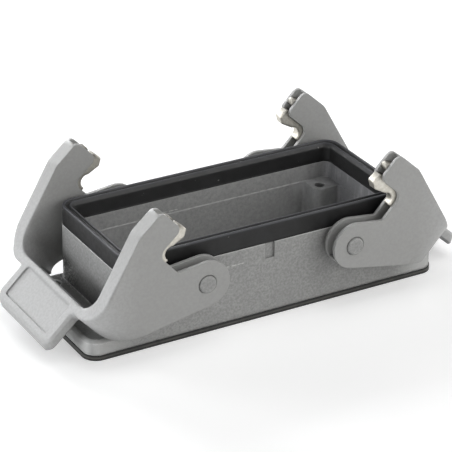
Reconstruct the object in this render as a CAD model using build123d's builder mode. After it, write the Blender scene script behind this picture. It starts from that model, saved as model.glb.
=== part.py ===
"""Bulkhead housing of a heavy duty rectangular connector, with two locking levers.

An open die-cast box stands on a flange that is screwed to a panel.  A rubber seal caps
its rim and a flat rubber seal lies under the flange.  Two U-shaped levers turn on pins
that are cast on the long sides, and each lever arm carries a stainless hook plate that
pulls the mating hood down by its pegs.

Frame: X along the housing, Y across it, Z up.  The origin is on the panel, at the middle
of the flange seal's underside.  All sizes are in millimetres.
"""

import os
from math import atan, cos, hypot, radians, sin, tan

from build123d import *

os.makedirs("parts", exist_ok=True)

# Flange and its seal
flange_reach = 11.0
flange_corner_r = 4.3
flange_thickness = 4.6
flange_edge_chamfer = 1.0
mount_hole_r = 2.25
mount_reach = 4.0
mount_spacing_y = 32.0
flange_seal_thickness = 1.6
flange_seal_proud = 0.25
flange_seal_hole_clearance = 0.4
flange_seal_window_margin = 0.3

# Box body
body_length = 95.0
body_width = 43.0
body_corner_r = 5.0
body_height = 22.3
wall_thickness = 3.35
cavity_corner_r = 2.2
core_step = 0.2

# Notch in the middle of each long side, under the rim seal
notch_width = 3.3
notch_height = 5.0
notch_depth = 0.7

# Posts for the insert's screws
insert_spacing_x = 77.5
insert_spacing_y = 27.0
insert_thread_r = 1.65
insert_thread_depth = 12.0
post_r = 3.0
post_root_r = 1.0
post_drop = 5.3

# Rim seal and the tongue that holds it
rim_seal_height = 6.0
rim_seal_inset = 0.15
rim_bead_width = 1.2
rim_channel_width = 1.4
rim_channel_depth = 0.7
rim_seal_outer_chamfer = 0.6
rim_seal_inner_chamfer = 0.4
tongue_thickness = 1.3
tongue_height = 3.2
tongue_clearance = 0.1

# Pivot pins cast on the long sides
pivot_inset = 22.9
pivot_z = 20.0
pivot_pin_r = 2.6
pivot_fit = 0.06
collar_r = 4.2
collar_gap = 0.2
arm_gap = 2.1
pin_chamfer = 0.3
pin_proud = 0.5

# Lever: a U of two arms and a crossbar, with a tab to press on
arm_thickness = 5.3
cheek_thickness = 1.1
pivot_hole_chamfer = 0.35
arm_round_r = 7.1
arm_top_slope = 10.8
arm_bottom_slope = 11.0
corner_outer_r = 9.4
corner_inner_r = 6.2
crossbar_thickness = 2.9
crossbar_depth = 6.0
crossbar_arch_r = 2.8
crossbar_arch_margin = 0.4

# Side view of the lever, measured from the pivot: along X, then up
elbow = (9.4, 6.0)
mouth_low = (13.8, 10.6)
mouth_deep = (14.5, 12.4)
mouth_high = (13.3, 14.8)
nose_low = (9.5, 18.3)
nose_front = (9.1, 19.7)
nose_high = (9.7, 21.1)
tip = (14.4, 26.0)
shoulder = (21.4, 19.7)
crossbar_top = (34.5, -3.4)
elbow_r = 0.8
tip_r = 2.2
shoulder_r = 5.0
heel_r = 4.5

# Tab: a plate that runs outwards and down from the crossbar
tab_slope = 42.7
tab_length = 14.6
tab_half_width = 17.0
tab_thickness = 3.5
tab_end_flare = 1.6
tab_corner_r = 3.0
tab_root_r = 1.2
tab_rim_chamfer = 0.7
panel_start = 1.9
panel_length = 10.4
panel_half_width = 13.65
panel_depth = 0.5
panel_corner_r = 0.9

# Slot between the two cheeks of an arm
slot_back_wall = 1.4
slot_tip_wall = 0.2
slot_floor = 2.6
slot_end = 24.0

# Hook plate, measured from the pivot: along X, then up
hook_side_clearance = 0.08
hook_nose_top = (8.6, 20.6)
hook_nose_corner = (6.2, 18.6)
hook_nose_low = (6.9, 16.2)
hook_slide_end = (10.5, 14.2)
hook_seat_deep = (12.9, 12.2)
hook_lip = (12.0, 10.1)
hook_root_low = (14.4, 7.7)
hook_root_back = (18.6, 13.3)
hook_notch = (12.6, 18.7)
hook_root_high = (15.4, 20.9)
hook_lobe_centre = (11.7, 22.0)
hook_lobe_r = 1.3
hook_nose_r = 0.8

# Places, heights and half sizes that follow
flange_length = body_length + 2 * flange_reach
flange_width = body_width
mount_spacing_x = body_length + 2 * mount_reach
pivot_x = body_length / 2 - pivot_inset
flange_bottom_z = flange_seal_thickness
flange_top_z = flange_bottom_z + flange_thickness
body_top_z = flange_bottom_z + body_height
cavity_length = body_length - 2 * wall_thickness
cavity_width = body_width - 2 * wall_thickness
post_top_z = body_top_z - post_drop
corner_reach = cavity_length - insert_spacing_x
seal_face_y = body_width / 2 - rim_seal_inset
arm_inner_y = body_width / 2 + arm_gap
lever_half_width = arm_inner_y + arm_thickness
pin_end_y = lever_half_width + pin_proud
slot_width = arm_thickness - 2 * cheek_thickness
slot_outer_y = lever_half_width - cheek_thickness
hook_thickness = slot_width - 2 * hook_side_clearance
hook_outer_y = slot_outer_y - hook_side_clearance


def at_pivot(point):
    """A point of the lever's side view, moved to the pivot of the lever at +X."""
    return (pivot_x + point[0], pivot_z + point[1])


def along_tab(s, n):
    """A point of the side view, s down the tab's face and n out of it, from the pivot."""
    a = radians(tab_slope)
    return (
        crossbar_top[0] + s * cos(a) + n * sin(a),
        crossbar_top[1] - s * sin(a) + n * cos(a),
    )


# Housing: the flange, the open box, the posts inside it and the pins outside
with BuildPart() as housing:
    with BuildSketch(Plane.XY.offset(flange_bottom_z)):
        RectangleRounded(flange_length, flange_width, flange_corner_r)
    extrude(amount=flange_thickness)
    chamfer(housing.faces().sort_by(Axis.Z)[-1].edges(), flange_edge_chamfer)
    with BuildSketch(Plane.XY.offset(flange_bottom_z)):
        RectangleRounded(body_length, body_width, body_corner_r)
    extrude(amount=body_height)

    # The upper half of the cavity, down to the tops of the posts
    with BuildSketch(Plane.XY.offset(body_top_z)):
        RectangleRounded(cavity_length, cavity_width, cavity_corner_r)
    extrude(amount=post_top_z - body_top_z, mode=Mode.SUBTRACT)

    # The lower half, a step smaller, which leaves a screw post standing in each corner
    with BuildSketch(Plane.XY.offset(post_top_z)) as lower_cavity:
        RectangleRounded(
            cavity_length - 2 * core_step, cavity_width - 2 * core_step, cavity_corner_r
        )
        with GridLocations(insert_spacing_x, insert_spacing_y, 2, 2):
            Circle(post_r, mode=Mode.SUBTRACT)
        with GridLocations(insert_spacing_x + corner_reach, insert_spacing_y, 2, 2):
            Rectangle(corner_reach, 2 * post_r, mode=Mode.SUBTRACT)
        with GridLocations(insert_spacing_x, insert_spacing_y + corner_reach, 2, 2):
            Rectangle(2 * post_r, corner_reach, mode=Mode.SUBTRACT)
        with GridLocations(insert_spacing_x + corner_reach, insert_spacing_y + corner_reach, 2, 2):
            Rectangle(corner_reach, corner_reach, mode=Mode.SUBTRACT)
        wall_corners = [
            v for v in lower_cavity.vertices()
            if abs(v.X) > cavity_length / 2 - 2 * core_step
            or abs(v.Y) > cavity_width / 2 - 2 * core_step
        ]
        fillet(wall_corners, post_root_r)
    extrude(amount=flange_bottom_z - post_top_z, mode=Mode.SUBTRACT)
    with Locations(Plane.XY.offset(post_top_z)):
        with GridLocations(insert_spacing_x, insert_spacing_y, 2, 2):
            Hole(insert_thread_r, depth=insert_thread_depth)

    # Mounting holes through the flange
    with Locations(Plane.XY.offset(flange_top_z)):
        with GridLocations(mount_spacing_x, mount_spacing_y, 2, 2):
            Hole(mount_hole_r, depth=flange_thickness)

    # The tongue round the rim that grips the seal
    with BuildSketch(Plane.XY.offset(body_top_z)):
        inset = (wall_thickness - tongue_thickness) / 2
        RectangleRounded(
            body_length - 2 * inset, body_width - 2 * inset, body_corner_r - inset
        )
        RectangleRounded(
            cavity_length + 2 * inset,
            cavity_width + 2 * inset,
            cavity_corner_r + inset,
            mode=Mode.SUBTRACT,
        )
    extrude(amount=tongue_height)

    for side in (-1, 1):
        # Notch in the long side
        with BuildSketch(Plane.XZ.offset(side * body_width / 2)):
            with Locations((0, body_top_z - notch_height / 2)):
                Rectangle(notch_width, notch_height)
        extrude(amount=-side * notch_depth, mode=Mode.SUBTRACT)

        # Collars and pivot pins, which start behind the face of the rim seal
        with BuildSketch(Plane.XZ.offset(side * seal_face_y)):
            with Locations((-pivot_x, pivot_z), (pivot_x, pivot_z)):
                Circle(collar_r)
        extrude(amount=side * (arm_inner_y - collar_gap - seal_face_y))
        with BuildSketch(Plane.XZ.offset(side * seal_face_y)):
            with Locations((-pivot_x, pivot_z), (pivot_x, pivot_z)):
                Circle(pivot_pin_r)
        extrude(amount=side * (pin_end_y - seal_face_y))
    pin_ends = housing.faces().filter_by(Axis.Y).group_by(Axis.Y)
    chamfer((pin_ends[0] + pin_ends[-1]).edges(), pin_chamfer)
housing.part.label = "housing"
export_step(housing.part, "parts/housing.step")

# Rim seal: a rubber frame pushed over the tongue
with BuildPart() as rim_seal:
    with BuildSketch(Plane.XY.offset(body_top_z)):
        RectangleRounded(
            body_length - 2 * rim_seal_inset,
            body_width - 2 * rim_seal_inset,
            body_corner_r - rim_seal_inset,
        )
        RectangleRounded(cavity_length, cavity_width, cavity_corner_r, mode=Mode.SUBTRACT)
    extrude(amount=rim_seal_height)
    rim_top = rim_seal.faces().sort_by(Axis.Z)[-1]
    chamfer(rim_top.outer_wire().edges(), rim_seal_outer_chamfer)
    rim_top = rim_seal.faces().sort_by(Axis.Z)[-1]
    chamfer(rim_top.inner_wires()[0].edges(), rim_seal_inner_chamfer)

    # The shallow channel in its top, and the deep groove for the tongue in its underside
    with BuildSketch(Plane.XY.offset(body_top_z + rim_seal_height)):
        bead_inset = rim_seal_inset + rim_bead_width
        lip_inset = bead_inset + rim_channel_width
        RectangleRounded(
            body_length - 2 * bead_inset, body_width - 2 * bead_inset, body_corner_r - bead_inset
        )
        RectangleRounded(
            body_length - 2 * lip_inset,
            body_width - 2 * lip_inset,
            body_corner_r - lip_inset,
            mode=Mode.SUBTRACT,
        )
    extrude(amount=-rim_channel_depth, mode=Mode.SUBTRACT)
    with BuildSketch(Plane.XY.offset(body_top_z)):
        groove_inset = (wall_thickness - tongue_thickness) / 2 - tongue_clearance
        RectangleRounded(
            body_length - 2 * groove_inset,
            body_width - 2 * groove_inset,
            body_corner_r - groove_inset,
        )
        RectangleRounded(
            cavity_length + 2 * groove_inset,
            cavity_width + 2 * groove_inset,
            cavity_corner_r + groove_inset,
            mode=Mode.SUBTRACT,
        )
    extrude(amount=tongue_height + tongue_clearance, mode=Mode.SUBTRACT)
rim_seal.part.label = "rim_seal"
export_step(rim_seal.part, "parts/rim_seal.step")

# Flange seal: a flat rubber frame between the flange and the panel
with BuildPart() as flange_seal:
    with BuildSketch():
        RectangleRounded(
            flange_length + 2 * flange_seal_proud,
            flange_width + 2 * flange_seal_proud,
            flange_corner_r + flange_seal_proud,
        )
        RectangleRounded(
            cavity_length - 2 * flange_seal_window_margin,
            cavity_width - 2 * flange_seal_window_margin,
            cavity_corner_r,
            mode=Mode.SUBTRACT,
        )
        with GridLocations(mount_spacing_x, mount_spacing_y, 2, 2):
            Circle(mount_hole_r + flange_seal_hole_clearance, mode=Mode.SUBTRACT)
    extrude(amount=flange_seal_thickness)
flange_seal.part.label = "flange_seal"
export_step(flange_seal.part, "parts/flange_seal.step")

# Side view of the lever: where the lower edge meets the back of the crossbar
top_tangent = (arm_round_r * sin(radians(arm_top_slope)), arm_round_r * cos(radians(arm_top_slope)))
low_tangent = (
    -arm_round_r * sin(radians(arm_bottom_slope)),
    -arm_round_r * cos(radians(arm_bottom_slope)),
)
low_slope = tan(radians(arm_bottom_slope))
low_height = -arm_round_r / cos(radians(arm_bottom_slope))
heel_drop = (along_tab(crossbar_thickness, 0)[1] + low_slope * along_tab(crossbar_thickness, 0)[0]
             - low_height) / (cos(radians(tab_slope)) + low_slope * sin(radians(tab_slope)))
heel = along_tab(crossbar_thickness, -heel_drop)

tab_plane = Plane(
    origin=(at_pivot(crossbar_top)[0], 0, at_pivot(crossbar_top)[1]),
    x_dir=(cos(radians(tab_slope)), 0, -sin(radians(tab_slope))),
    z_dir=(sin(radians(tab_slope)), 0, cos(radians(tab_slope))),
)
crossbar_plane = Plane(origin=tab_plane.origin, x_dir=(0, 1, 0), z_dir=tab_plane.x_dir)
lever_reach = 3 * hypot(*shoulder)

# The tab's plate, with a strip that lies inside the crossbar.  Its end leans outwards.
arch_half_width = lever_half_width - corner_outer_r - crossbar_arch_margin
strip_width = crossbar_thickness / 2
with BuildPart() as tab_plate:
    with BuildSketch(Plane.XZ):
        with BuildLine():
            Polyline(
                at_pivot(along_tab(strip_width, 0)),
                at_pivot(along_tab(tab_length, 0)),
                at_pivot(along_tab(tab_length + tab_end_flare, -tab_thickness)),
                at_pivot(along_tab(strip_width, -tab_thickness)),
                close=True,
            )
        make_face()
    extrude(amount=arch_half_width, both=True)
    with BuildSketch(tab_plane) as tab:
        with Locations((tab_length, 0)):
            Rectangle(2 * tab_length, 2 * tab_half_width)
        with Locations((crossbar_thickness / 2, 0)):
            Rectangle(crossbar_thickness, 2 * arch_half_width)
        tab_roots = [v for v in tab.vertices().group_by(Axis.X)[1] if abs(v.Y) < arch_half_width]
        fillet(tab_roots, tab_root_r)
    extrude(amount=2 * tab_thickness, both=True, mode=Mode.INTERSECT)
    tab_end = tab_plate.faces().sort_by(Axis(tab_plane.origin, tab_plane.x_dir))[-1]
    fillet(tab_end.edges().filter_by(Axis.Y, reverse=True), tab_corner_r)
    rims = [e for face in tab_plate.faces().filter_by(Axis(tab_plane.origin, tab_plane.z_dir))
            for e in face.edges()
            if tab_plane.to_local_coords(e.center()).X > crossbar_thickness + tab_root_r]
    chamfer(rims, tab_rim_chamfer)

# Lever on the +X side
with BuildPart() as lever_right:
    # The side view, carried across the whole width
    with BuildSketch(Plane.XZ) as side_view:
        with BuildLine():
            Polyline(
                at_pivot(top_tangent), at_pivot(elbow), at_pivot(mouth_low)
            )
            ThreePointArc(at_pivot(mouth_low), at_pivot(mouth_deep), at_pivot(mouth_high))
            Line(at_pivot(mouth_high), at_pivot(nose_low))
            ThreePointArc(at_pivot(nose_low), at_pivot(nose_front), at_pivot(nose_high))
            Polyline(
                at_pivot(nose_high),
                at_pivot(tip),
                at_pivot(shoulder),
                at_pivot(crossbar_top),
                at_pivot(along_tab(crossbar_thickness, 0)),
                at_pivot(heel),
                at_pivot(low_tangent),
            )
            ThreePointArc(
                at_pivot(low_tangent), at_pivot((-arm_round_r, 0)), at_pivot(top_tangent)
            )
        make_face()
        for corner, radius in (
            (elbow, elbow_r), (tip, tip_r), (shoulder, shoulder_r), (heel, heel_r)
        ):
            x, z = at_pivot(corner)
            fillet(side_view.vertices().sort_by_distance((x, z, 0))[0], radius)
    extrude(amount=lever_half_width, both=True)

    # The outside of the U, seen square to the tab
    with BuildSketch(tab_plane) as outside:
        with Locations((crossbar_thickness - lever_reach / 2, 0)):
            Rectangle(lever_reach, 2 * lever_half_width)
        fillet(outside.vertices().group_by(Axis.X)[-1], corner_outer_r)
    extrude(amount=lever_reach, both=True, mode=Mode.INTERSECT)

    # The inside of the U
    with BuildSketch(tab_plane) as inside:
        with Locations((-lever_reach / 2, 0)):
            Rectangle(lever_reach, 2 * arm_inner_y)
        fillet(inside.vertices().group_by(Axis.X)[-1], corner_inner_r)
    extrude(amount=lever_reach, both=True, mode=Mode.SUBTRACT)

    # The arch under the crossbar
    with BuildSketch(crossbar_plane.offset(-crossbar_thickness)) as arch:
        with Locations((0, -crossbar_depth - lever_reach / 2)):
            Rectangle(2 * arch_half_width, lever_reach)
        fillet(arch.vertices().group_by(Axis.Y)[-1], crossbar_arch_r)
    extrude(amount=3 * crossbar_thickness, mode=Mode.SUBTRACT)

    # The tab
    add(tab_plate.part)
    with BuildSketch(tab_plane):
        with Locations((panel_start + panel_length / 2, 0)):
            RectangleRounded(panel_length, 2 * panel_half_width, panel_corner_r)
    extrude(amount=-panel_depth, mode=Mode.SUBTRACT)

    # Slots between the cheeks, open round the pivot and along the mouth
    back_angle = atan((shoulder[1] - crossbar_top[1]) / (crossbar_top[0] - shoulder[0]))
    tip_angle = atan((tip[1] - shoulder[1]) / (shoulder[0] - tip[0]))
    bend = (back_angle + tip_angle) / 2
    bend_depth = slot_back_wall / cos((back_angle - tip_angle) / 2)
    slot_bend = (shoulder[0] - bend_depth * sin(bend), shoulder[1] - bend_depth * cos(bend))
    slot_tip = (tip[0] - slot_tip_wall * sin(tip_angle), tip[1] - slot_tip_wall * cos(tip_angle))
    slot_run = hypot(slot_bend[0] - slot_tip[0], slot_tip[1] - slot_bend[1])
    slot_open = 2 * arm_round_r
    floor_height = low_height + slot_floor
    with BuildSketch(Plane.XZ.offset(slot_outer_y)) as slot_view:
        with BuildLine():
            Polyline(
                at_pivot((slot_bend[0] + (slot_tip[0] - slot_bend[0]) * slot_open / slot_run,
                          slot_bend[1] + (slot_tip[1] - slot_bend[1]) * slot_open / slot_run)),
                at_pivot(slot_bend),
                at_pivot((slot_end, slot_bend[1] - (slot_end - slot_bend[0]) * tan(back_angle))),
                at_pivot((slot_end, floor_height - slot_end * low_slope)),
                at_pivot((-slot_open, floor_height + slot_open * low_slope)),
                at_pivot((-slot_open, nose_high[1])),
                close=True,
            )
        make_face()
    extrude(amount=-slot_width, mode=Mode.SUBTRACT)
    extrude(slot_view.sketch.moved(Location((0, 2 * slot_outer_y - slot_width, 0))),
            amount=-slot_width, mode=Mode.SUBTRACT)

    # Pivot holes
    with BuildSketch(Plane.XZ):
        with Locations((pivot_x, pivot_z)):
            Circle(pivot_pin_r + pivot_fit)
    extrude(amount=lever_half_width, both=True, mode=Mode.SUBTRACT)
    hole_rims = lever_right.edges().filter_by(GeomType.CIRCLE).filter_by(
        lambda e: abs(e.radius - pivot_pin_r - pivot_fit) < pivot_fit / 2
    ).group_by(Axis.Y)
    chamfer(hole_rims[0] + hole_rims[-1], pivot_hole_chamfer)
lever_right.part.label = "lever_right"
export_step(lever_right.part, "parts/lever_right.step")

# The lever on the -X side is the same moulding, turned half round
with BuildPart() as lever_left:
    add(lever_right.part.rotate(Axis.Z, 180))
lever_left.part.label = "lever_left"
export_step(lever_left.part, "parts/lever_left.step")

# Hook plate in the front arm of the +X lever
with BuildPart() as hook_plate:
    with BuildSketch(Plane.XZ.offset(hook_outer_y)) as hook_view:
        with BuildLine():
            Polyline(
                at_pivot(hook_root_high), at_pivot(hook_notch), at_pivot(hook_nose_top),
                at_pivot(hook_nose_corner), at_pivot(hook_nose_low), at_pivot(hook_slide_end),
            )
            ThreePointArc(
                at_pivot(hook_slide_end), at_pivot(hook_seat_deep), at_pivot(hook_lip)
            )
            Polyline(
                at_pivot(hook_lip), at_pivot(hook_root_low), at_pivot(hook_root_back),
                at_pivot(hook_root_high),
            )
        make_face()
        for corner in (hook_nose_corner, hook_nose_low):
            x, z = at_pivot(corner)
            fillet(hook_view.vertices().sort_by_distance((x, z, 0))[0], hook_nose_r)
        finger_middle = (Vector(*hook_lobe_centre) + Vector(*hook_root_high)) / 2
        SlotCenterPoint(
            at_pivot(tuple(finger_middle)[:2]), at_pivot(hook_lobe_centre), 2 * hook_lobe_r
        )
    extrude(amount=-hook_thickness)

# One plate in each of the four arms
hook_places = {
    "hook_plate_right_front": hook_plate.part,
    "hook_plate_right_back": mirror(hook_plate.part, about=Plane.XZ),
    "hook_plate_left_back": hook_plate.part.rotate(Axis.Z, 180),
    "hook_plate_left_front": mirror(hook_plate.part.rotate(Axis.Z, 180), about=Plane.XZ),
}
for name, plate in hook_places.items():
    with BuildPart() as placed_plate:
        add(plate)
    placed_plate.part.label = name
    export_step(placed_plate.part, f"parts/{name}.step")
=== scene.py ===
"""Looks of the bulkhead housing with two locking levers, set in a plain studio.

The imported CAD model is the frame.  Everything is in metres and in the part's own frame: X along the
housing, Y across it, Z up, origin on the panel under the middle of the flange seal.
"""

import bpy
import numpy as np
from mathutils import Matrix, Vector


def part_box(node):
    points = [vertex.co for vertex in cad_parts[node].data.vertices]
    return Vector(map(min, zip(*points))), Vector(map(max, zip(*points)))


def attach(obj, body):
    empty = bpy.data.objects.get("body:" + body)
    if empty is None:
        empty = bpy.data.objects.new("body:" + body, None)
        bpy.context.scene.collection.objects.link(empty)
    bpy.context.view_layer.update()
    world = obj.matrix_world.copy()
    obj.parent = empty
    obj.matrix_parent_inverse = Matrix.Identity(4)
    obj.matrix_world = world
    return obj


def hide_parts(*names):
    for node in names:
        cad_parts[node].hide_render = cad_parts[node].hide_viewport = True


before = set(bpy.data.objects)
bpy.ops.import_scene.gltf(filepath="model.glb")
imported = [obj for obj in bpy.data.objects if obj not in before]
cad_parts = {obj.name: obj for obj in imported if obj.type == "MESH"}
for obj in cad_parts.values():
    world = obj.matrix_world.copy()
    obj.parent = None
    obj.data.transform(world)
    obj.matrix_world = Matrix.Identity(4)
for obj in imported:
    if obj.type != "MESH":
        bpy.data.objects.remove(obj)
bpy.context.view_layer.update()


# Housing
# A box and flange die-cast in one piece from aluminium and powder coated grey.  The coat shows the cast
# skin as a fine grain;
# inside, painted shade darkens it by the posts and on the end walls.
def shader(name, colour, roughness, specular=0.5, metallic=0.0):
    """A new material with one Principled shader; gives the material, its node tree and the shader."""
    material = bpy.data.materials.new(name)
    material.use_nodes = True
    tree = material.node_tree
    principled = tree.nodes["Principled BSDF"]
    principled.inputs["Base Color"].default_value = (*colour, 1)
    principled.inputs["Roughness"].default_value = roughness
    principled.inputs["Specular IOR Level"].default_value = specular
    principled.inputs["Metallic"].default_value = metallic
    return material, tree, principled


def place(tree, stretch=(1, 1, 1)):
    """The object's own coordinates in metres, each times its number in stretch."""
    coordinates = tree.nodes.new("ShaderNodeTexCoord")
    mapping = tree.nodes.new("ShaderNodeMapping")
    mapping.inputs["Scale"].default_value = stretch
    tree.links.new(coordinates.outputs["Object"], mapping.inputs["Vector"])
    return mapping.outputs["Vector"]


def noise(tree, scale, detail=3.0, roughness=0.5, stretch=(1, 1, 1)):
    """Noise from 0 to 1: scale cells a metre, and detail finer layers, each half as large as the last
    and roughness times as strong."""
    texture = tree.nodes.new("ShaderNodeTexNoise")
    texture.inputs["Scale"].default_value = scale
    texture.inputs["Detail"].default_value = detail
    texture.inputs["Roughness"].default_value = roughness
    tree.links.new(place(tree, stretch), texture.inputs["Vector"])
    return texture.outputs["Fac"]


def ramp(tree, source, low, high, at_low=0.0, at_high=1.0):
    """A straight line from at_low where source is low to at_high where it is high, level beyond both."""
    node = tree.nodes.new("ShaderNodeMapRange")
    node.inputs["From Min"].default_value = low
    node.inputs["From Max"].default_value = high
    node.inputs["To Min"].default_value = at_low
    node.inputs["To Max"].default_value = at_high
    tree.links.new(source, node.inputs["Value"])
    return node.outputs["Result"]


def blend_colours(tree, source, first, second):
    """First times (1 - source) plus second times source; each is a socket or a colour."""
    node = tree.nodes.new("ShaderNodeMix")
    node.data_type = "RGBA"
    for name, value in (("A", first), ("B", second)):
        if isinstance(value, tuple):
            node.inputs[name].default_value = (*value, 1)
        else:
            tree.links.new(value, node.inputs[name])
    tree.links.new(source, node.inputs["Factor"])
    return node.outputs["Result"]


# Outside, the coat is a fine grain of two greys, with darker clouds where it lies thick
coat, tree, principled = shader("housing_coat", (0.295, 0.296, 0.291), 0.5, specular=0.35)
coat_dark, coat_light, coat_thick = (0.245, 0.246, 0.241), (0.350, 0.351, 0.346), (0.25, 0.252, 0.248)
grain = noise(tree, 1500, detail=4.0, roughness=0.6)
cloud = noise(tree, 130, detail=3.0, roughness=0.6)
colour = blend_colours(tree, ramp(tree, grain, 0.35, 0.65), coat_dark, coat_light)
colour = blend_colours(tree, ramp(tree, cloud, 0.4, 0.66, at_high=0.35), colour, coat_thick)


def combine(tree, operation, first, second):
    """First and second put through that operation of arithmetic; each is a socket or a number."""
    node = tree.nodes.new("ShaderNodeMath")
    node.operation = operation
    for socket, value in zip(node.inputs, (first, second)):
        if isinstance(value, (int, float)):
            socket.default_value = value
        else:
            tree.links.new(value, socket)
    return node.outputs[0]


def size_of(tree, value):
    """The value without its sign."""
    return combine(tree, "ABSOLUTE", value, 0)


def axes(tree):
    """The three object coordinates in metres, as separate values."""
    split = tree.nodes.new("ShaderNodeSeparateXYZ")
    tree.links.new(place(tree), split.inputs["Vector"])
    return split.outputs["X"], split.outputs["Y"], split.outputs["Z"]


def band(tree, value, middle, half, soft):
    """1 where value is no further than half from middle, and a straight fall to 0 over the next soft."""
    away = size_of(tree, combine(tree, "SUBTRACT", value, middle))
    return ramp(tree, away, half, half + soft, at_low=1, at_high=0)


def all_of(tree, *values):
    """The product of the values, each a socket or a number."""
    product = values[0]
    for value in values[1:]:
        product = combine(tree, "MULTIPLY", product, value)
    return product


def lay(tree, colour, tone, *masks):
    """Lays tone over colour, as far as the product of the masks says."""
    return blend_colours(tree, all_of(tree, *masks), colour, tone)


# Inside, painted shade tinted blue darkens the coat a little by the posts and more on the end walls, and
# pale vertical streaks run up the walls by the posts
cavity_half_x, cavity_half_y, cavity_soft = 0.0446, 0.0186, 0.0002
inside_dark, inside_light = (0.25, 0.252, 0.25), (0.335, 0.336, 0.332)
post_painted_shade, end_wall_painted_shade, streak_pale = (0.16, 0.16, 0.168), (0.14, 0.14, 0.152), (0.44, 0.435, 0.445)
x, y, z = axes(tree)
from_middle = size_of(tree, x)
cavity = all_of(tree, band(tree, x, 0, cavity_half_x, cavity_soft),
                band(tree, y, 0, cavity_half_y, cavity_soft))
by_posts = ramp(tree, from_middle, 0.022, 0.04)
end_wall = ramp(tree, from_middle, 0.0425, 0.0438)
orange_peel = ramp(tree, noise(tree, 900, detail=4.0, roughness=0.75), 0.34, 0.66)
pale_streaks = ramp(tree, noise(tree, 210, detail=4.0, roughness=0.65, stretch=(1, 1, 0.4)), 0.46, 0.68)
inside = blend_colours(tree, orange_peel, inside_dark, inside_light)
# Painted shade, tinted blue: a little by the posts, and more on the end walls
inside = lay(tree, inside, post_painted_shade, by_posts, 0.15)
inside = lay(tree, inside, end_wall_painted_shade, end_wall, 0.6)
inside = lay(tree, inside, streak_pale, pale_streaks, by_posts, 0.6)

# The two halves of the core meet at the top of the posts; a thin broken pale line there is a painted
# highlight along the joint
core_line, core_half_x, line_half, line_soft = 0.0187, 0.034, 0.00009, 0.0001
joint_highlight_patches = ramp(tree, noise(tree, 480, detail=3.0), 0.45, 0.56, at_low=0.25)
inside = lay(tree, inside, (0.55, 0.55, 0.54), band(tree, z, core_line, line_half, line_soft),
             joint_highlight_patches, band(tree, x, 0, core_half_x, 0.001), 0.55)
colour = lay(tree, colour, inside, cavity)

# A short broken pale line along a seam on the long sides, on the -X side of the notch
side_line, side_seam_x, side_seam_half = 0.0194, -0.0114, 0.0025
side_patches = ramp(tree, noise(tree, 900, detail=2.0), 0.42, 0.52)
colour = lay(tree, colour, (0.7, 0.7, 0.69), band(tree, z, side_line, line_half, line_soft),
             band(tree, x, side_seam_x, side_seam_half, 0.0005), side_patches, 0.6)

# Painted light: the flange beyond the box is painted paler, and a broken pale line along the top edge of
# the walls is a painted highlight
ends = ramp(tree, from_middle, 0.043, 0.053)
on_flange = ramp(tree, z, 0.0066, 0.006)
colour = lay(tree, colour, (0.5, 0.502, 0.495), ends, on_flange, 0.75)
top_highlight_patches = ramp(tree, noise(tree, 300, detail=3.0), 0.36, 0.5, at_low=0.3, at_high=0.8)
top_edge = all_of(tree, ramp(tree, z, 0.02366, 0.02378), top_highlight_patches)
top_edge_highlight = combine(tree, "SUBTRACT", top_edge, cavity)
colour = lay(tree, colour, (0.6, 0.602, 0.597), top_edge_highlight)


def blend_values(tree, source, first, second):
    """First plus source times (second - first); each is a socket or a number."""
    step = combine(tree, "MULTIPLY", source, combine(tree, "SUBTRACT", second, first))
    return combine(tree, "ADD", first, step)


def deep_places(tree, reach, low, high, least):
    """1 where a point is open over reach, down to least where it is shut in: a ramp of the share of
    open sky from low to high."""
    node = tree.nodes.new("ShaderNodeAmbientOcclusion")
    node.samples = 8
    node.inputs["Distance"].default_value = reach
    return ramp(tree, node.outputs["AO"], low, high, at_low=least)


def darken(tree, colour, factor):
    """The colour times factor."""
    return blend_colours(tree, factor, (0.0, 0.0, 0.0), colour)


# Painted shade darkens the coat in the corners of the cavity and on the flange under the levers, where
# they are shut in
shelf_half_x, shelf_half_y, shelf_soft = 0.0572, 0.0205, 0.0008
on_shelf = all_of(tree, band(tree, x, 0, shelf_half_x, shelf_soft),
                  band(tree, y, 0, shelf_half_y, shelf_soft))
under_levers = deep_places(tree, reach=0.027, low=0.1, high=0.85, least=0.37)
in_corners = deep_places(tree, reach=0.008, low=0.1, high=0.6, least=0.5)
outside_shade = blend_values(tree, on_shelf, 1.0, under_levers)
colour = darken(tree, colour, blend_values(tree, cavity, outside_shade, in_corners))

# Pale specks low on each end wall by one corner are painted highlights, small glints
glint_specks = ramp(tree, noise(tree, 1900, detail=1.0), 0.56, 0.64)
speck_x, speck_y, speck_z = 0.0475, 0.017, 0.0095
low_ends = all_of(tree, band(tree, z, speck_z, 0.003, 0.002), band(tree, y, speck_y, 0.004, 0.006),
                  band(tree, from_middle, speck_x, 0.001, 0.0005))
colour = lay(tree, colour, (0.55, 0.55, 0.54), glint_specks, low_ends, 0.85)


def rounded(tree, radius):
    """A shading normal that turns over sharp edges as if they were rounded to that radius."""
    node = tree.nodes.new("ShaderNodeBevel")
    node.samples = 8
    tree.links.new(radius, node.inputs["Radius"])
    return node.outputs["Normal"]


def near_edge(tree, round_normal):
    """How near an edge a point is: 0 where the rounded normal is the face's own and 1 where it leans
    well away, which is where the product of the two falls from 0.99 to 0.82."""
    face = tree.nodes.new("ShaderNodeNewGeometry")
    product = tree.nodes.new("ShaderNodeVectorMath")
    product.operation = "DOT_PRODUCT"
    tree.links.new(round_normal, product.inputs[0])
    tree.links.new(face.outputs["Normal"], product.inputs[1])
    return ramp(tree, product.outputs["Value"], 0.99, 0.82)
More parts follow.
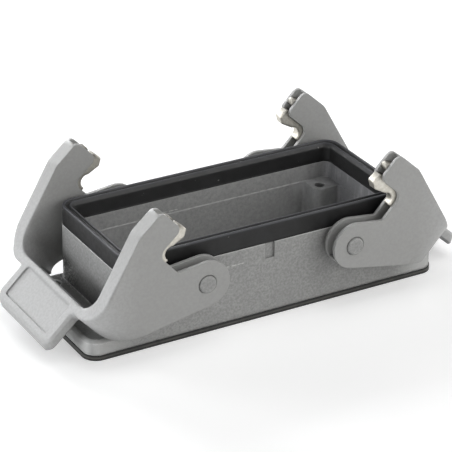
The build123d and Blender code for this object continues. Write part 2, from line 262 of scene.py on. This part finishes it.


# Edges are pale in patches, partly wear and partly painted highlight; the brightest, at the ends of the
# flange, which has the wider rounding, are painted glints
flange_radius, box_radius = 0.0011, 0.00045
round_normal = rounded(tree, ramp(tree, z, 0.0063, 0.0072, flange_radius, box_radius))
rubbed_and_glint_tone = blend_colours(tree, ends, (0.5, 0.502, 0.497), (0.78, 0.785, 0.775))
rubbed_and_glint_patches = ramp(tree, noise(tree, 500, detail=3.0), 0.3, 0.55)
colour = lay(tree, colour, rubbed_and_glint_tone, near_edge(tree, round_normal), rubbed_and_glint_patches,
             ramp(tree, cavity, 0, 1, at_low=0.85, at_high=0.25))
tree.links.new(colour, principled.inputs["Base Color"])


def bump(tree, principled, height, strength, distance, below=None):
    """A bump on the shader: height times distance in metres, taken as far as strength says, over the
    normal below if there is one."""
    node = tree.nodes.new("ShaderNodeBump")
    node.inputs["Strength"].default_value = strength
    node.inputs["Distance"].default_value = distance
    tree.links.new(height, node.inputs["Height"])
    if below is not None:
        tree.links.new(below, node.inputs["Normal"])
    tree.links.new(node.outputs["Normal"], principled.inputs["Normal"])


def dress(node, *materials):
    """Puts these materials on a CAD node in place of its packed one."""
    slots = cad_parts[node].data.materials
    slots.clear()
    for material in materials:
        slots.append(material)


# The walls by the posts were sized by the core and are smoother; the flange is pitted at both ends
coat_roughness = ramp(tree, grain, 0.3, 0.7, at_low=0.56, at_high=0.42)
coat_roughness = blend_values(tree, all_of(tree, cavity, by_posts), coat_roughness, 0.33)
tree.links.new(coat_roughness, principled.inputs["Roughness"])
pits = all_of(tree, noise(tree, 520, detail=4.0, roughness=0.7), ends,
              ramp(tree, z, 0.0078, 0.0064, at_high=9))
relief = combine(tree, "ADD", combine(tree, "MULTIPLY", cloud, 2.0), combine(tree, "ADD", grain, pits))
bump(tree, principled, relief, strength=0.45, distance=0.00006, below=round_normal)
dress("housing", coat)

# Rim seal
# A moulded frame of black rubber pushed over the tongue of the box.  Its top has a round bead along the
# outer edge, a shallow channel beside it and a thin lip along the cavity, on which the hood closes.
rubber, tree, principled = shader("seal_rubber", (0.014, 0.0142, 0.015), 0.5, specular=0.3)
x, y, z = axes(tree)
# Painted sheen: the top is painted lighter and bluer, and the crest of the bead most, as a painted
# highlight
bloom = ramp(tree, noise(tree, 160, detail=5.0, roughness=0.65), 0.4, 0.7)
colour = blend_colours(tree, bloom, (0.010, 0.010, 0.010), (0.0165, 0.0165, 0.0175))
top_sheen, crest_highlight = ramp(tree, z, 0.0292, 0.0298), ramp(tree, z, 0.02958, 0.02976)
colour = lay(tree, colour, (0.021, 0.0215, 0.0255), top_sheen)
colour = lay(tree, colour, (0.05, 0.051, 0.058), crest_highlight, 0.7)
# Painted shade darkens the seal where it is shut in
colour = darken(tree, colour, deep_places(tree, reach=0.006, low=0.2, high=0.7, least=0.35))
# A few specks of dust cling to it
dust = ramp(tree, noise(tree, 850, detail=1.0), 0.77, 0.8, at_high=0.45)
colour = lay(tree, colour, (0.3, 0.3, 0.29), dust)
tree.links.new(colour, principled.inputs["Base Color"])
rubber_roughness = ramp(tree, noise(tree, 420, detail=3.0), 0.35, 0.7, at_low=0.38, at_high=0.52)
tree.links.new(rubber_roughness, principled.inputs["Roughness"])
bump(tree, principled, noise(tree, 2200, detail=3.0), strength=0.3, distance=0.00003)


def smooth_curve(points, steps):
    """A closed curve through the points, steps to a stretch.

    Each stretch is a cubic that runs from one point to the next, and its slope at a point is half the
    step from the point before to the point after.
    """
    points = np.asarray(points, float)
    slope = (np.roll(points, -1, 0) - np.roll(points, 1, 0)) / 2
    ends, end_slope = np.roll(points, -1, 0), np.roll(slope, -1, 0)
    t = np.linspace(0, 1, steps, endpoint=False)[None, :, None]
    curve = ((2 * t**3 - 3 * t**2 + 1) * points[:, None] + (t**3 - 2 * t**2 + t) * slope[:, None]
             + (3 * t**2 - 2 * t**3) * ends[:, None] + (t**3 - t**2) * end_slope[:, None])
    return curve.reshape(-1, 2)


def rounded_rectangles(half_x, half_y, radius, steps):
    """Rings of points round rounded rectangles, one for each entry of the first three arrays.

    A corner is its centre plus radius times the cosine and sine of a quarter turn, in steps points.  A
    side is a straight run from one corner to the next, in steps parts.
    """
    turn = np.linspace(0, np.pi / 2, steps)
    run = np.linspace(0, 1, steps + 1)[1:-1, None]
    corners = []
    for quarter, (side_x, side_y) in enumerate(((1, 1), (-1, 1), (-1, -1), (1, -1))):
        angle = turn + quarter * np.pi / 2
        centre = np.stack((side_x * (half_x - radius), side_y * (half_y - radius)), -1)[:, None]
        corners.append(centre + radius[:, None, None] * np.stack((np.cos(angle), np.sin(angle)), 1))
    rings = []
    for quarter, corner in enumerate(corners):
        start, end = corner[:, -1:], corners[(quarter + 1) % 4][:, :1]
        rings += [corner, start + (end - start) * run]
    return np.concatenate(rings, 1)


def closed_grid(rows, columns):
    """Faces of a grid whose rows and columns both close on themselves, facing out of a tube.

    Each face takes a point, the one in the next row, the one beside that, and the one beside the first.
    """
    row, column = np.meshgrid(np.arange(rows), np.arange(columns), indexing="ij")
    right, below = (column + 1) % columns, (row + 1) % rows
    quads = np.stack((row * columns + column, below * columns + column,
                      below * columns + right, row * columns + right), -1)
    return quads.reshape(-1, 4).tolist()


def mesh_piece(name, vertices, faces, material):
    """A new smooth object at the origin with this mesh and this material."""
    mesh = bpy.data.meshes.new(name)
    mesh.from_pydata(vertices, [], faces)
    mesh.update()
    mesh.polygons.foreach_set("use_smooth", np.full(len(mesh.polygons), True))
    mesh.materials.append(material)
    piece = bpy.data.objects.new(name, mesh)
    bpy.context.scene.collection.objects.link(piece)
    return piece


# Each ring is the seal's outline, as far in and as far down as one point of the section says
seal_wall, seal_height, corner_outer, corner_inner = 0.0032, 0.006, 0.00485, 0.0022
seal_high = np.array(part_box("rim_seal")[1])
# The section, as inset from the outer face and depth below the top, both in mm
seal_section = (
    (0.0, 6.0), (0.0, 3.6), (0.0, 1.1), (0.05, 0.4), (0.22, 0.08), (0.5, 0.0), (0.78, 0.08),
    (0.95, 0.4), (1.12, 0.74), (1.45, 0.8), (1.85, 0.76), (2.02, 0.5), (2.12, 0.2), (2.28, 0.1),
    (2.48, 0.22), (2.8, 0.7), (3.2, 1.4), (3.2, 3.0), (3.2, 6.0), (2.6, 6.0), (1.6, 6.0), (0.6, 6.0),
)
inset, depth = smooth_curve(seal_section, steps=3).T / 1000
inset, depth = np.clip(inset, 0, seal_wall), np.clip(depth, 0, seal_height)
corner = corner_outer + (corner_inner - corner_outer) * inset / seal_wall
rings = rounded_rectangles(seal_high[0] - inset, seal_high[1] - inset, corner, steps=10)
heights = np.broadcast_to((seal_high[2] - depth)[:, None, None], (*rings.shape[:2], 1))
rim_seal = mesh_piece("rim_seal_moulding", np.concatenate((rings, heights), 2).reshape(-1, 3),
                      closed_grid(*rings.shape[:2]), rubber)
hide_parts("rim_seal")
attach(rim_seal, "housing")

# Flange seal
# A flat frame cut from sheet rubber, clamped between the flange and the panel, a little proud all round.
# Its cut edge is rough and bulges in the middle, where a pale band is a painted highlight.
sheet_rubber, tree, principled = shader("flange_rubber", (0.014, 0.014, 0.0145), 0.55, specular=0.3)
bulge_z, bulge_half, bulge_soft = 0.00085, 0.00018, 0.00025
x, y, z = axes(tree)
sheet_grain = noise(tree, 900, detail=4.0, roughness=0.6)
colour = blend_colours(tree, ramp(tree, sheet_grain, 0.3, 0.7), (0.010, 0.010, 0.010),
                       (0.018, 0.018, 0.018))
bulge_highlight_patches = ramp(tree, noise(tree, 260, detail=2.0), 0.3, 0.6, at_low=0.5)
colour = lay(tree, colour, (0.07, 0.068, 0.062), band(tree, z, bulge_z, bulge_half, bulge_soft),
             bulge_highlight_patches)
tree.links.new(colour, principled.inputs["Base Color"])
bump(tree, principled, sheet_grain, strength=0.3, distance=0.00003)
dress("flange_seal", sheet_rubber)


# Levers
# Each is one moulding of light grey, glass-filled plastic: two arms with double cheeks, a crossbar and a
# tab to press on.  The skin is satin smooth, and the rims are rounded by the mould.
def lever_skin(name, dark, light, roughness):
    """Satin plastic whose tone runs between dark and light in a grain too fine to see from afar."""
    material, tree, principled = shader(name, light, roughness, specular=0.4)
    x, y, z = axes(tree)
    along, across = size_of(tree, x), size_of(tree, y)
    skin = noise(tree, 1300, detail=3.0)
    flow = noise(tree, 45, detail=3.0, stretch=(1, 1, 0.5))
    flow_dark = tuple(0.93 * channel for channel in dark)
    colour = blend_colours(tree, ramp(tree, skin, 0.35, 0.65), dark, light)
    colour = lay(tree, colour, flow_dark, ramp(tree, flow, 0.4, 0.7, at_high=0.2))
    # Painted light: the tab and the crossbar are painted paler
    tab_painted_light = blend_colours(tree, ramp(tree, skin, 0.4, 0.6), (0.40, 0.40, 0.40), (0.455, 0.455, 0.458))
    colour = lay(tree, colour, tab_painted_light, ramp(tree, along, 0.046, 0.056, at_high=0.5))
    # Painted light and shade in the slots: where shut in, the plastic is painted pale by the hooks and
    # dark below them
    slot_middle, slot_half = 0.02625, 0.0016
    shut_in = combine(tree, "SUBTRACT", 1.0, deep_places(tree, reach=0.003, low=0.3, high=0.75, least=0))
    in_slot = band(tree, across, slot_middle, slot_half, 0.0001)
    at_hooks = ramp(tree, z, 0.036, 0.0385)
    slot_light_and_shade = blend_colours(tree, at_hooks, (0.12, 0.12, 0.12), (0.66, 0.66, 0.65))
    colour = lay(tree, colour, slot_light_and_shade, shut_in, in_slot)
    # Painted shade darkens the bend between the arms and the crossbar
    by_bend = ramp(tree, along, 0.043, 0.05)
    bend_shade = deep_places(tree, reach=0.022, low=0.1, high=0.62, least=0.42)
    colour = darken(tree, colour, blend_values(tree, by_bend, 1.0, bend_shade))
    tree.links.new(colour, principled.inputs["Base Color"])
    tree.links.new(ramp(tree, flow, 0.35, 0.65, roughness, roughness + 0.07),
                   principled.inputs["Roughness"])
    # The rims are sharper along the arms than round the crossbar
    arm_radius, crossbar_radius = 0.0003, 0.0015
    crossbar_x, crossbar_half = 0.0565, 0.0025
    by_crossbar = band(tree, along, crossbar_x, crossbar_half, 0.006)
    soft_rims = rounded(tree, ramp(tree, by_crossbar, 0, 1, arm_radius, crossbar_radius))
    bump(tree, principled, skin, strength=0.15, distance=0.00003, below=soft_rims)
    return material


def soften(node, width, rim_material=-1):
    """Rounds a CAD node's sharp edges to that width with modifiers; its own mesh stays as packed.

    The triangles are welded, those in one plane are joined, and edges that turn by more than sharp, in
    radians, get three small faces.  The new faces take that material, or their neighbours' where it is -1.
    """
    same_place, same_plane, sharp = 1e-6, 0.01, 0.5
    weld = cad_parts[node].modifiers.new("weld", "WELD")
    weld.merge_threshold = same_place
    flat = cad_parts[node].modifiers.new("flat", "DECIMATE")
    flat.decimate_type = "DISSOLVE"
    flat.angle_limit = same_plane
    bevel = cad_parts[node].modifiers.new("bevel", "BEVEL")
    bevel.width = width
    bevel.segments = 3
    bevel.limit_method = "ANGLE"
    bevel.angle_limit = sharp
    bevel.harden_normals = True
    bevel.use_clamp_overlap = True
    bevel.material = rim_material


plastic = lever_skin("lever_plastic", (0.318, 0.318, 0.312), (0.342, 0.342, 0.336), roughness=0.42)
# The rims get a paler copy of the plastic, a painted highlight along the edges
plastic_rim_highlight = lever_skin("lever_rim_highlight", (0.36, 0.36, 0.358), (0.40, 0.40, 0.398), roughness=0.38)
for side in ("right", "left"):
    dress(f"lever_{side}", plastic, plastic_rim_highlight)
    soften(f"lever_{side}", width=0.0004, rim_material=1)

# Hook plates
# Four plates stamped from stainless steel and held in the slots of the arms.  Their edges draw the hood
# down by its pegs, and are bright where the pegs slide.
steel, tree, principled = shader("hook_steel", (0.55, 0.53, 0.475), 0.34, metallic=1.0)
x, y, z = axes(tree)
drawn = noise(tree, 900, detail=3.0, roughness=0.6, stretch=(1, 6, 1))
colour = blend_colours(tree, ramp(tree, drawn, 0.35, 0.65), (0.49, 0.468, 0.415), (0.6, 0.58, 0.525))
# The pegs slide on the steel up to slide_top, and it is dull from nose_top up
slide_top, nose_top = 0.0385, 0.0402
peg_polish = ramp(tree, z, slide_top, nose_top, at_low=1.0, at_high=0.35)
# Painted shade darkens the steel deep in the slots
in_slot = deep_places(tree, reach=0.004, low=0.15, high=0.6, least=0.25)
colour = darken(tree, colour, all_of(tree, peg_polish, in_slot))
tree.links.new(colour, principled.inputs["Base Color"])
tree.links.new(ramp(tree, drawn, 0.3, 0.7, at_low=0.5, at_high=0.38), principled.inputs["Roughness"])
# Stamping rolls the edges over, and most where the pegs have slid
slid_radius, stamped_radius = 0.0009, 0.0005
rolled = rounded(tree, ramp(tree, z, slide_top, nose_top, slid_radius, stamped_radius))
bump(tree, principled, drawn, strength=0.25, distance=0.00003, below=rolled)
for side in ("right", "left"):
    for end in ("front", "back"):
        dress(f"hook_plate_{side}_{end}", steel)
        soften(f"hook_plate_{side}_{end}", width=0.0003)


# Studio
# A white table in a white room, whose glow only the camera and the reflections see.  The light on the
# part comes from seven softboxes: low on the left, in front, above and behind.
def seen_rays(tree):
    """1 for rays from the camera, off gloss or through glass, else 0: the largest of those three."""
    paths = tree.nodes.new("ShaderNodeLightPath")
    seen = combine(tree, "MAXIMUM", paths.outputs["Is Camera Ray"], paths.outputs["Is Glossy Ray"])
    return combine(tree, "MAXIMUM", seen, paths.outputs["Is Transmission Ray"])


table_half, table_glow, room_fill = 2, 0.35, 0.02
floor_white, tree, principled = shader("floor_white", (0.8, 0.8, 0.8), 0.9)
principled.inputs["Emission Color"].default_value = (1, 1, 1, 1)
glow = combine(tree, "MULTIPLY", seen_rays(tree), table_glow)
tree.links.new(glow, principled.inputs["Emission Strength"])
floor = mesh_piece("floor", [(-table_half, -table_half, 0), (table_half, -table_half, 0),
                             (table_half, table_half, 0), (-table_half, table_half, 0)],
                   [(0, 1, 2, 3)], floor_white)

world = bpy.data.worlds.new("studio")
bpy.context.scene.world = world
world.use_nodes = True
tree = world.node_tree
tree.nodes.clear()
fill = tree.nodes.new("ShaderNodeBackground")
fill.inputs["Color"].default_value = (1, 1, 1, 1)
fill.inputs["Strength"].default_value = room_fill
white = tree.nodes.new("ShaderNodeBackground")
white.inputs["Color"].default_value = (1, 1, 1, 1)
mix = tree.nodes.new("ShaderNodeMixShader")
tree.links.new(seen_rays(tree), mix.inputs["Fac"])
tree.links.new(fill.outputs[0], mix.inputs[1])
tree.links.new(white.outputs[0], mix.inputs[2])
out = tree.nodes.new("ShaderNodeOutputWorld")
tree.links.new(mix.outputs[0], out.inputs["Surface"])


def softbox(name, position, size, power, colour, target=(0, 0, 0.02)):
    """A rectangular area light at position, aimed at target: size in metres, power in watts."""
    data = bpy.data.lights.new(name, "AREA")
    data.shape = "RECTANGLE"
    data.size, data.size_y = size
    data.energy = power
    data.color = colour
    light = bpy.data.objects.new(name, data)
    bpy.context.scene.collection.objects.link(light)
    light.location = position
    light.rotation_mode = "QUATERNION"
    light.rotation_quaternion = (Vector(target) - Vector(position)).to_track_quat("-Z", "Y")


plain, warm, cool, cooler = (1.0, 1.0, 1.0), (1.0, 0.995, 0.98), (0.98, 0.99, 1.0), (0.97, 0.985, 1.0)
softbox("left", (-0.985, 0, 0.13), (0.35, 0.35), 6.2, cooler)
softbox("front", (0.464, -0.803, 0.375), (1.3, 0.6), 4.35, warm)
softbox("front_left", (-0.3, -0.88, 0.36), (0.6, 0.5), 0.9, warm)
softbox("high", (0.5, -0.35, 0.79), (1.1, 1.1), 4.5, plain)
softbox("top", (0, 0, 1.0), (0.4, 0.4), 0.9, plain, target=(0, 0, 0))
softbox("back", (0, 0.927, 0.375), (0.6, 0.35), 9.0, cool)
softbox("back_left", (-0.656, 0.656, 0.375), (0.35, 0.35), 2.6, cool)

# The camera stands where the photograph was taken from, at a fair distance behind a long lens
camera_data = bpy.data.cameras.new("camera")
camera = bpy.data.objects.new("camera", camera_data)
bpy.context.scene.collection.objects.link(camera)
camera.location = (-0.29743, -0.51268, 0.31919)
camera.rotation_euler = (1.102823, -0.009435, -0.517599)
camera_data.sensor_width = 36.0
camera_data.lens = 178.36
camera_data.clip_start = 0.05
camera_data.clip_end = 10
bpy.context.scene.camera = camera
bpy.context.scene.view_settings.view_transform = "Standard"
